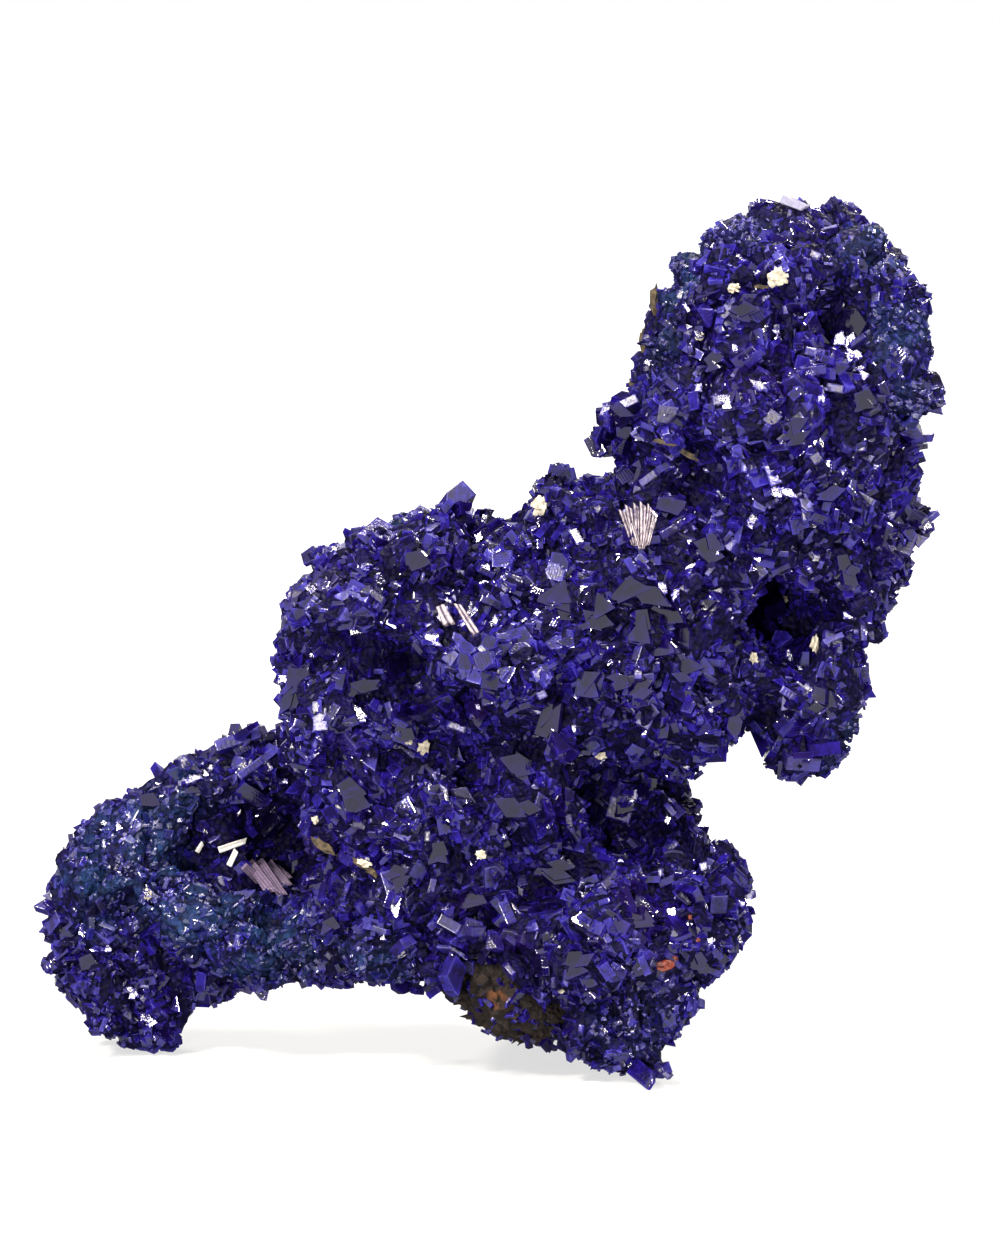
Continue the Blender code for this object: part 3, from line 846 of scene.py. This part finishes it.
studio = {
    "floorSize": 3.0,
    "floorColour": 0.30,
    "floorGlow": (0.66, 1.0),  # near the cluster and far from it
    "floorReach": (0.05, 0.35),  # metres
    "lamps": {
        # place in metres, edge in metres, power in watts
        "key": ((-0.26, -0.30, 0.40), 0.070, 4.0),
        "fill": ((0.34, -0.26, 0.26), 0.060, 2.3),
        "top": ((0.04, 0.02, 0.56), 0.110, 2.1),
        "low": ((-0.10, -0.46, 0.06), 0.040, 1.5),
        "rear": ((0.16, 0.36, 0.36), 0.080, 2.6),
    },
    "roomDark": 0.10,
    "lampWarmth": (1.0, 0.93, 0.84),
    # bright screens: direction, half angle in degrees, brightness
    "screens": {
        "left": ((-0.75, -0.45, 0.30), 36.0, 0.85),
        "front": ((0.10, -0.72, 0.62), 29.0, 0.80),
        "right": ((0.85, -0.15, 0.15), 25.0, 0.80),
        "above": ((-0.15, 0.25, 0.95), 22.0, 0.65),
        "behind": ((0.0, 1.0, 0.05), 24.0, 0.8),
        "below": ((0.15, -0.55, -0.80), 34.0, 0.75),
    },
    "screenEdge": 0.04,
}


# Showpieces: single crystals of the photograph, turned so that they catch a lamp or a screen

glints = {
    # photograph pixel, width and height in pixels, lamp, turn in degrees
    "head": [
        (846, 338, 16, 20, "key", 20), (854, 352, 14, 20, "key", 40), (857, 370, 9, 18, "key", 70),
        (699, 334, 8, 9, "fill", 10), (735, 348, 6, 8, "key", 0), (776, 331, 5, 7, "key", 40),
        (725, 396, 12, 20, "key", 15), (760, 386, 10, 24, "top", 35), (688, 326, 5, 6, "top", 35),
        (812, 372, 9, 16, "low", 55),
    ],
    "neck": [
        (780, 494, 20, 13, "key", -10), (850, 521, 6, 7, "key", 0), (750, 522, 12, 12, "fill", 30),
        (706, 470, 5, 5, "key", 0),
    ],
    "centre": [(662, 589, 11, 14, "key", 20), (677, 595, 12, 9, "fill", 60)],
    "column": [(776, 644, 24, 22, "key", 25), (790, 655, 9, 14, "fill", -20), (800, 668, 5, 7, "key", 0)],
    "centre 2": [(735, 590, 5, 8, "top", 15), (655, 772, 10, 8, "key", 5), (716, 552, 6, 6, "key", 5)],
    "bulge": [
        (466, 618, 7, 32, "key", -30), (446, 616, 14, 17, "key", -35), (434, 640, 16, 12, "fill", 20),
        (495, 623, 10, 13, "key", -40), (537, 505, 17, 14, "key", 10), (508, 683, 6, 15, "top", -10),
        (360, 712, 17, 26, "key", 10), (372, 726, 8, 10, "fill", 40), (366, 566, 12, 10, "top", 20),
        (312, 655, 5, 5, "key", 0), (487, 566, 9, 6, "key", -20),
    ],
    "middle": [
        (478, 707, 5, 7, "key", 0), (436, 775, 5, 12, "key", 10), (430, 786, 5, 9, "fill", 0),
        (584, 772, 8, 6, "key", 10), (633, 756, 6, 5, "key", 30),
    ],
    "rim": [
        (204, 773, 9, 9, "key", 10), (196, 776, 20, 14, "top", 10), (147, 894, 6, 8, "fill", 0),
        (118, 826, 6, 9, "key", 30), (117, 955, 12, 14, "top", 20),
    ],
    "foot": [(132, 991, 10, 14, "key", 0), (145, 1016, 12, 20, "fill", 20), (108, 948, 6, 7, "key", 5)],
    "low": [(481, 856, 7, 7, "key", 0), (383, 937, 5, 6, "key", 0)],
    "lobe": [
        (621, 860, 5, 4, "key", 0), (706, 906, 4, 7, "fill", 0), (604, 1018, 5, 5, "low", 0),
        (648, 1030, 6, 4, "low", 0),
    ],
}
greyFacets = {
    # the same, with a screen instead of a lamp
    "stacked": [(518, 772, 30, 36, "front", 4), (520, 808, 30, 34, "front", -4)],
    "centre": [
        (646, 622, 24, 30, "left", 12), (668, 612, 26, 24, "left", 20), (680, 634, 22, 30, "left", 8),
        (662, 650, 28, 22, "left", 28), (640, 590, 44, 28, "left", 5), (600, 615, 24, 28, "left", 20),
        (735, 638, 28, 24, "front", 15), (710, 548, 30, 30, "right", 0),
        (668, 510, 24, 24, "front", 40), (712, 604, 24, 18, "left", 55),
    ],
    "bulge": [
        (560, 595, 38, 38, "front", 8), (585, 682, 32, 26, "left", 38),
        (620, 680, 22, 16, "front", 10), (460, 712, 14, 30, "right", 6),
        (478, 712, 16, 26, "front", -18), (548, 716, 34, 22, "left", 68),
    ],
    "left edge": [
        (290, 700, 44, 26, "left", 55), (300, 672, 36, 18, "front", 60),
        (350, 800, 26, 30, "front", 20),
    ],
    "rim": [(196, 790, 22, 18, "left", 10)],
    "head": [
        (712, 366, 24, 18, "left", 20), (745, 312, 24, 18, "front", 10),
        (858, 404, 26, 20, "left", 30), (800, 430, 28, 20, "front", 35),
    ],
    "neck": [(640, 470, 24, 20, "left", 15)],
    "centre 2": [
        (760, 620, 26, 22, "left", 40), (690, 670, 26, 22, "front", 15),
        (640, 690, 24, 20, "left", 50),
    ],
    "middle": [(360, 690, 26, 20, "front", 25), (440, 850, 22, 20, "left", 5)],
    "low edge": [(330, 930, 20, 16, "left", 30)],
    "rim 2": [(150, 800, 18, 14, "front", 10)],
    "bulge 2": [(420, 560, 26, 20, "left", 15), (310, 600, 24, 20, "left", 45)],
    "neck 2": [(828, 490, 26, 18, "front", 20)],
    "column": [(850, 570, 26, 26, "right", 15), (820, 700, 24, 22, "left", 10)],
    "low": [(395, 880, 24, 18, "front", 30), (470, 900, 26, 22, "left", 20)],
    "lobe": [
        (560, 870, 26, 22, "front", 10), (640, 920, 26, 20, "left", 35),
        (700, 960, 22, 22, "right", 10), (580, 960, 26, 20, "front", 50),
    ],
    "foot": [(90, 960, 24, 20, "left", 25)],
}
cloudyPlates = {
    # as the grey facets
    "knob": [
        (523, 645, 30, 26, "front", 25), (493, 650, 24, 26, "left", 50),
        (545, 668, 22, 20, "right", 25), (472, 664, 26, 24, "left", 10),
        (560, 648, 16, 24, "right", 70), (505, 676, 24, 18, "front", 60),
        (508, 632, 20, 16, "above", 10), (462, 645, 16, 22, "front", 35),
    ],
    "bulge": [(556, 566, 26, 22, "left", 15), (512, 560, 20, 26, "left", 75)],
    "lobe": [(590, 740, 24, 20, "left", 30)],
}
darkCrystals = {
    # as the grey facets; crystals set in the dark hollows, kept dark as painted shade
    "head": [(850, 324, 36, 34, "left", 8), (840, 306, 16, 10, "right", 20)],
    "bulge": [(398, 664, 30, 22, "right", 30)],
    "column": [(770, 596, 26, 34, "above", 30)],
    "low": [(268, 822, 30, 22, "left", 50)],
}
showpieces = {
    # spots, mm before the mass, forms, thickness to its width, tint from and to, dullness from and to
    "glints": (glints, 1.15, ("kite", "corner", "plate", "lozenge"), 1.2, (0.7, 0.9), (0.30, 0.48)),
    "grey facets": (greyFacets, 1.0, ("plate", "corner", "slab", "rhomb"), 0.9, (0.3, 0.9), (0.0, 0.04)),
    "cloudy plates": (
        cloudyPlates, 0.9, ("slab", "corner", "lozenge", "kite"), 0.8, (0.75, 1.0), (0.45, 0.75)
    ),
    "dark crystals": (darkCrystals, 1.1, ("hexagon", "stout"), 1.0, (0.05, 0.15), (0.0, 0.05)),
}
# a piece wider than so many pixels is broken into shards: their number, their size, the largest tilt in
# degrees and how far they lie apart, as shares of its size and in mm
shards = {
    "glints": (9, 3, 0.62, 2.5, 0.36, 0.10),
    "grey facets": (18, 3, 0.74, 0.7, 0.34, 0.16),
    "cloudy plates": (15, 3, 0.72, 9.0, 0.40, 0.25),
}
shardSpin = 0.5  # radians
shardSizes = (0.7, 1.2)
showpieceSeed = 9
# what is kept free: the share of a showpiece's half width, and, for a showpiece and for any other spot, how
# far behind its front in mm, and the share of a crystal's own half size that may lie over it
clearing = {"share": 0.75, "showpiece": (0.6, 0.45), "spot": (0.5, 0.40)}


# Pale blades, rods and a striated plate, each a tapered bar or tablet set at its pixel

bars = {
    # foot and tip in photograph pixels, their widths in pixels, how far they stand forward in mm
    "striated_fan": ("fan", [
        ((633, 545), (621, 508), 3.0, 6, 0.4, 1.1), ((635, 546), (628, 504), 3.5, 7, 0.5, 1.5),
        ((638, 546), (636, 502), 3.5, 6, 0.5, 1.8), ((642, 546), (643, 501), 3.5, 7, 0.5, 1.6),
        ((645, 546), (650, 503), 3.0, 5, 0.4, 1.4), ((648, 545), (655, 514), 3.0, 6, 0.4, 1.2),
        ((640, 549), (632, 522), 3.0, 4, 0.7, 2.0), ((643, 549), (647, 524), 3.0, 4, 0.7, 1.9),
    ]),
    "pale_rods": ("rods", [
        ((219, 850), (248, 840), 7, 6, 1.6, 1.7), ((229, 866), (237, 849), 6, 6, 1.2, 1.6),
        ((197, 852), (203, 842), 5, 4, 1.0, 1.2),
    ]),
    "pale_plate": ("plate", [
        ((244, 866), (262, 882), 8, 11, 1.3, 1.4), ((250, 862), (272, 893), 9, 12, 1.4, 1.3),
        ((260, 861), (283, 896), 9, 10, 1.4, 1.4), ((269, 862), (290, 888), 8, 9, 1.2, 1.5),
        ((276, 866), (291, 880), 6, 7, 1.1, 1.2),
    ]),
    # a bar that stands in for a lit facet, its pale tone a painted highlight
    "head_plate": ("litFacet", [
        ((782, 199), (806, 209), 9, 7, 1.5, 1.5), ((790, 199), (809, 208), 5, 5, 1.4, 1.4),
    ]),
    "bulge_blades": ("fan", [
        ((476, 634), (456, 602), 8, 6, 0.9, 1.6), ((440, 606), (450, 626), 9, 12, 1.2, 1.4),
    ]),
}
barShape = {
    "thickness": 0.45,  # of its width
    "worn": 0.14,  # of its length, at one corner of the tip
    "free": 1.5,  # mm that its tip may stand off the mass
    "bevel": 0.05,  # mm
}


# Grains and ledges of the matrix between the crystals

specks = {
    # photograph pixel, width and height in pixels, how far they stand out in mm, turn in degrees
    "cream_grains": ("cream", 3, [
        ((777, 277), (17, 17), 0.9), ((734, 288), (10, 8), 0.7), ((782, 601), (9, 12), 0.8),
        ((815, 644), (7, 13), 0.8), ((754, 658), (7, 9), 0.8), ((424, 746), (10, 14), 0.9),
        ((409, 741), (6, 7), 0.8), ((540, 506), (12, 16), 0.8), ((505, 984), (7, 7), 0.7),
        ((481, 854), (9, 8), 0.8), ((561, 990), (6, 6), 0.7), ((315, 820), (6, 7), 0.7),
        ((600, 756), (10, 6), 0.9), ((148, 895), (6, 9), 0.8), ((364, 863), (13, 6), 0.75, -25),
        ((699, 336), (7, 8), 0.9),
    ]),
    "tan_ledges": ("tan", 2, [
        ((664, 442), (24, 4), 0.5, -14), ((684, 452), (28, 5), 0.5, -30),
        ((342, 856), (28, 7), 0.45, -20), ((360, 864), (20, 6), 0.5, -28),
        ((323, 846), (26, 8), 0.3, -38), ((372, 872), (14, 6), 0.6, -40), ((655, 300), (9, 26), 0.5),
        ((634, 340), (8, 24), 0.5), ((632, 384), (10, 12), 0.5), ((762, 287), (12, 4), 0.3),
        ((470, 1002), (34, 8), 0.5),
    ]),
    "red_grains": ("red", 2, [
        ((664, 966), (19, 12), 1.0), ((690, 917), (4, 5), 0.8), ((698, 940), (4, 4), 0.8),
        ((676, 958), (5, 5), 0.8),
    ]),
}
speckShape = {"rough": 1.0, "lump": 0.5, "depth": 0.7}

# places where the photograph shows no large crystal: pixel, half size in pixels, height in mm
plainSpots = [
    ((468, 962), 9, 1.2), ((812, 196), 8, 1.6), ((560, 945), 6, 1.2), ((816, 276), 9, 1.2),
    ((448, 955), 9, 1.2), ((655, 1060), 8, -3.0), ((460, 498), 8, -3.0), ((938, 533), 6, -3.0),
    ((929, 440), 4, -3.0), ((282, 580), 5, -3.0), ((601, 425), 4, -3.0),
]


# the places, half sizes in pixels and heights in mm that the druse leaves free for the bars and specks
def keepFree():
    yield from plainSpots
    for finish, entries in bars.values():
        for foot, tip, footWidth, tipWidth, footOut, tipOut in entries:
            for t in (0.15, 0.5, 0.85):
                centre = (foot[0] + (tip[0] - foot[0]) * t, foot[1] + (tip[1] - foot[1]) * t)
                yield centre, 0.4 * max(footWidth, tipWidth), footOut + (tipOut - footOut) * t
    for finish, rounds, entries in specks.values():
        for centre, size, out, *_ in entries:
            yield centre, 0.15 * (size[0] + size[1]), out


# the direction that a flat face at a point has to face for the camera to see a lamp or a screen in it
def facingTo(point, source):
    toEye = (eye - point).normalized()
    if source in studio["lamps"]:
        toSource = (Vector(studio["lamps"][source][0]) - point).normalized()
    else:
        toSource = Vector(studio["screens"][source][0]).normalized()
    return (toEye + toSource).normalized()


# the crystals without those that would hide a showpiece, a bar or a speck
def clearBefore(data):
    pixels, distance = toPixels(data[0][:, :, 3])
    half = 0.5 * np.linalg.norm(data[0][:, :, :3], axis=1).max(axis=1) / mm / view["pixel"]
    spots = [(spot, out, size, *clearing["spot"]) for spot, size, out in keepFree()]
    for table, proud, *_ in showpieces.values():
        for px, py, wide, high, *_ in rowsOf(table):
            size = clearing["share"] * max(wide, high) / 2
            spots.append(((px, py), proud, size, *clearing["showpiece"]))
    keep = np.ones(len(pixels), dtype=bool)
    for spot, out, size, behind, overlap in spots:
        front = (pixelPoint(*spot) - eye).length + (behind - out) * mm
        near = np.linalg.norm(pixels - spot, axis=1) < size + overlap * half
        keep &= ~(near & (distance < front))
    print("stage: cleared", (~keep).sum(), "crystals before the showpieces")
    return [part[keep] for part in data]


def makeShowpieces():
    rng = random.Random(showpieceSeed)
    scale = view["pixel"] * mm
    names = list(crystalForms)
    rows = []
    for kind, (table, proud, shapes, thickness, tints, dulls) in showpieces.items():
        for px, py, wide, high, source, turn in rowsOf(table):
            point = pixelPoint(px, py)
            middle = point + (eye - point).normalized() * proud * mm
            least, *broken = shards.get(kind, (1000,))
            count, share, tilt, apart, step = broken if max(wide, high) > least else (1, 1.0, 0.0, 0.0, 0.0)
            tilt = math.radians(tilt)
            for i in range(count):
                facing = facingTo(middle, source)
                across = Vector((0, 0, 1)).cross(facing).normalized()
                across = Quaternion(facing, math.radians(turn)) @ across
                up = facing.cross(across)
                spin = Quaternion(across, rng.uniform(-tilt, tilt)) @ Quaternion(up, rng.uniform(-tilt, tilt))
                if count > 1:
                    spin = spin @ Quaternion(facing, rng.uniform(-shardSpin, shardSpin))
                facing, across, up = spin @ facing, spin @ across, spin @ up
                size = share * (rng.uniform(*shardSizes) if count > 1 else 1.0)
                width, height = wide * size * scale, high * size * scale
                centre = middle + across * rng.uniform(-apart, apart) * wide * scale
                centre += up * rng.uniform(-apart, apart) * high * scale
                centre += facing * rng.uniform(-step, step) * mm
                thick = thickness * min(width, height)
                columns = (across * width, facing * thick, up * height)
                form = names.index(rng.choice(shapes))
                depth = facing * crystalForms[names[form]][0][1] * 0.5 * thick
                matrix = np.column_stack([np.array(Matrix(columns).transposed()), np.array(centre - depth)])
                rows.append((matrix, form, rng.uniform(*tints), 0.0, rng.uniform(*dulls)))
    return [np.array(values) for values in zip(*rows)]


# Regions that the druse is split in, so that no mesh grows too large: middle in mm

regions = {
    "head": (20.0, -1.0, 53.0),
    "neck": (23.0, -1.0, 41.0),
    "centre": (9.0, -3.0, 31.0),
    "bulge": (-8.0, -2.0, 30.0),
    "middle": (-3.0, -3.0, 16.0),
    "rim": (-21.0, 2.0, 12.0),
    "right_lobe": (9.0, -5.0, 9.0),
    "back": (6.0, 10.0, 20.0),
}


farGap = 9.0  # mm


# for each corner of each triangle, its distance in mm from the triangle's three edges: far where an edge is
# a mere diagonal. The least of the three is the distance from the facet's own edge.
def edgeGaps(corners, sharp):
    a, b, c = (corners[:, :, i] for i in range(3))
    area = np.linalg.norm(np.cross(b - a, c - a), axis=2)
    gaps = np.zeros((*corners.shape[:2], 3, 3))
    for i, side in enumerate((c - b, a - c, b - a)):
        height = area / np.maximum(np.linalg.norm(side, axis=2), 1e-9) / mm
        gaps[:, :, i, i] = height
        gaps[:, ~sharp[:, i], :, i] = farGap
    return gaps


# one joined mesh of all crystals of a region, with their looks as attributes
def buildCrystalMesh(name, data, region, rng):
    matrix, form, toneAndShade, teal, dull = data
    points, faces, looks, own, gaps = [], [], [], [], []
    base = 0
    for kind, (shape, triangles, facets, sharp) in enumerate(forms):
        chosen = np.nonzero((form == kind) & region)[0]
        if not len(chosen):
            continue
        linear = matrix[chosen, :, :3]
        moved = np.einsum("nij,vj->nvi", linear, shape) + matrix[chosen, None, :, 3]
        points.append(moved.reshape(-1, 3))
        gaps.append(edgeGaps(moved[:, triangles], sharp).reshape(-1, 3))
        own.append(np.broadcast_to(shape, (len(chosen), *shape.shape)).reshape(-1, 3))
        start = base + np.arange(len(chosen)) * len(shape)
        faces.append((triangles[None] + start[:, None, None]).reshape(-1, 3))
        perFacet = rng.random((len(chosen), facets.max() + 1))[:, facets]
        share = druse["facetShare"]
        look = np.empty((len(chosen), len(triangles), 3))
        look[:, :, 0] = (1.0 - share) * toneAndShade[chosen, None] + share * perFacet
        look[:, :, 1] = teal[chosen, None]
        look[:, :, 2] = dull[chosen, None]
        looks.append(look.reshape(-1, 3))
        base += len(chosen) * len(shape)
    points = np.concatenate(points)
    points[:, 2] = np.maximum(points[:, 2], 0.0)
    faces = np.concatenate(faces)
    mesh = bpy.data.meshes.new(name)
    mesh.vertices.add(len(points))
    mesh.vertices.foreach_set("co", points.astype(np.float32).ravel())
    mesh.loops.add(faces.size)
    mesh.loops.foreach_set("vertex_index", faces.astype(np.int32).ravel())
    mesh.polygons.add(len(faces))
    mesh.polygons.foreach_set("loop_start", np.arange(0, faces.size, 3, dtype=np.int32))
    mesh.update(calc_edges=True)
    mesh.shade_flat()
    looks = np.concatenate(looks).astype(np.float32)
    for i, key in enumerate(("toneAndShade", "teal", "dull")):
        layer = mesh.attributes.new(key, "FLOAT", "FACE")
        layer.data.foreach_set("value", np.ascontiguousarray(looks[:, i]))
    for key, domain, values in (("ownPlace", "POINT", own), ("edgeGap", "CORNER", gaps)):
        layer = mesh.attributes.new(key, "FLOAT_VECTOR", domain)
        layer.data.foreach_set("vector", np.concatenate(values).astype(np.float32).ravel())
    mesh.validate()
    mesh.materials.append(azuriteMaterial)
    return finishPiece(linkObject(name, mesh))


def splitByRegion(data, rng):
    centres = np.array(list(regions.values())) * mm
    nearest = np.linalg.norm(data[0][:, None, :, 3] - centres[None], axis=2).argmin(axis=1)
    total = 0
    for i, name in enumerate(regions):
        obj = buildCrystalMesh("crystals_" + name, data, nearest == i, rng)
        total += len(obj.data.polygons)
        print("piece:", obj.name, len(obj.data.polygons), "triangles")
    print("stage: druse made,", total, "triangles")


rng = np.random.default_rng(druse["seed"])
grown = growDruse(rng, massObject.data, druse["classes"], druse["bunches"])
grown += growDruse(rng, limoniteObject.data, druse["thin"], druse["thinBunches"])
splitByRegion(joined([clearBefore(joined(grown)), makeShowpieces()]), rng)


# The bars and specks, made from their tables

# a bar from foot to tip, with its own place for its growth lines and one corner of its tip worn
def addBar(bm, layer, foot, tip, footWidth, tipWidth, towards):
    along = tip - foot
    across = along.cross(towards).normalized()
    through = across.cross(along).normalized()
    for vert in bmesh.ops.create_cube(bm, size=1.0)["verts"]:
        x, y, z = vert.co
        vert[layer] = (x, y, z)
        width = footWidth if z < 0 else tipWidth
        vert.co = foot + along * (z + 0.5) + across * x * width + through * y * width * barShape["thickness"]
        if z > 0 and x > 0:
            vert.co -= along * barShape["worn"]


def makeBars():
    scale = view["pixel"] * mm
    for name, (finish, entries) in bars.items():
        bm = bmesh.new()
        layer = bm.verts.layers.float_vector.new("ownPlace")
        for footPixel, tipPixel, footWidth, tipWidth, footOut, tipOut in entries:
            toEye = (eye - pixelPoint(*footPixel)).normalized()
            footLevel, tipLevel = [(pixelPoint(*pixel) - eye).length for pixel in (footPixel, tipPixel)]
            tipLevel = min(tipLevel, footLevel + barShape["free"] * mm)
            foot = eye + pixelRay(*footPixel) * (footLevel - footOut * mm)
            tip = eye + pixelRay(*tipPixel) * (tipLevel - tipOut * mm)
            addBar(bm, layer, foot, tip, footWidth * scale, tipWidth * scale, toEye)
        bmesh.ops.recalc_face_normals(bm, faces=bm.faces)
        width = barShape["bevel"] * mm
        bmesh.ops.bevel(
            bm, geom=list(bm.edges), offset=width, segments=1, affect="EDGES", profile=0.5, material=-1
        )
        mesh = meshFrom(bm, name)
        mesh.materials.append(paleMaterials[finish])
        finishPiece(linkObject(name, mesh))


def makeSpecks():
    half = view["pixel"] * mm / 2
    for name, (finish, rounds, entries) in specks.items():
        bm = bmesh.new()
        for (px, py), (wide, high), out, *turn in entries:
            point = pixelPoint(px, py)
            toEye = (eye - point).normalized()
            level = Vector((0, 0, 1)).cross(toEye).normalized()
            across = Quaternion(toEye, math.radians(turn[0] if turn else 0.0)) @ level
            up = toEye.cross(across)
            centre = point + toEye * out * mm
            deep = min(wide, high) * speckShape["depth"]
            for vert in bmesh.ops.create_icosphere(bm, subdivisions=rounds, radius=1.0)["verts"]:
                lump = noise.noise(vert.co / speckShape["lump"] + Vector((px, py, 0)))
                x, y, z = vert.co * (1.0 + speckShape["rough"] * lump)
                vert.co = centre + across * x * wide * half + up * z * high * half - toEye * y * deep * half
        bmesh.ops.recalc_face_normals(bm, faces=bm.faces)
        mesh = meshFrom(bm, name)
        mesh.materials.append(paleMaterials[finish])
        finishPiece(linkObject(name, mesh))


makeBars()
makeSpecks()
print("stage: pale pieces and specks made")


# Floor, lamps and the bright screens around them

def makeFloor():
    bm = bmesh.new()
    bmesh.ops.create_grid(bm, x_segments=1, y_segments=1, size=studio["floorSize"] / 2)
    mesh = meshFrom(bm, "floor")
    obj = linkObject("floor", mesh)
    material, tree, shader = newMaterial("floor")
    away = vectorMeasure(tree, "LENGTH", coordinates(tree, "Object"))
    feed(tree, shader, {
        "Base Color": (*[studio["floorColour"]] * 3, 1.0),
        "Roughness": 0.9,
        "Specular IOR Level": 0.0,
        "Emission Color": (1.0, 1.0, 1.0, 1.0),
        "Emission Strength": mapRange(tree, away, *studio["floorReach"], *studio["floorGlow"]),
    })
    mesh.materials.append(material)
    obj.visible_glossy = False  # the crystals mirror the screens instead


def makeLamp(name, place, size, power):
    data = bpy.data.lights.new(name, "AREA")
    data.size = size
    data.energy = power
    data.color = studio["lampWarmth"]
    obj = linkObject(name, data)
    obj.location = place
    aim = Vector(view["aim"]) * mm - Vector(place)
    obj.rotation_euler = aim.to_track_quat("-Z", "Y").to_euler()


def makeWorld():
    world = bpy.data.worlds.new("studio")
    bpy.context.scene.world = world
    world.use_nodes = True
    tree = world.node_tree
    direction = coordinates(tree, "Generated")
    # the camera sees white, and everything else the dark room with its screens
    strength = addNode(tree, "ShaderNodeLightPath", {}).outputs["Is Camera Ray"]
    for facing, halfAngle, brightness in studio["screens"].values():
        towards = vectorMeasure(tree, "DOT_PRODUCT", direction, Vector(facing).normalized())
        edge = math.cos(math.radians(halfAngle))
        screen = mapRange(tree, towards, edge - studio["screenEdge"], edge, studio["roomDark"], brightness)
        strength = maths(tree, "MAXIMUM", strength, screen)
    feed(tree, tree.nodes["Background"], {"Color": (1.0, 1.0, 1.0, 1.0), "Strength": strength})


makeFloor()
for lampName, lampValues in studio["lamps"].items():
    makeLamp(lampName, *lampValues)
makeWorld()
bpy.context.scene.view_settings.view_transform = "Standard"
print("stage: studio made")
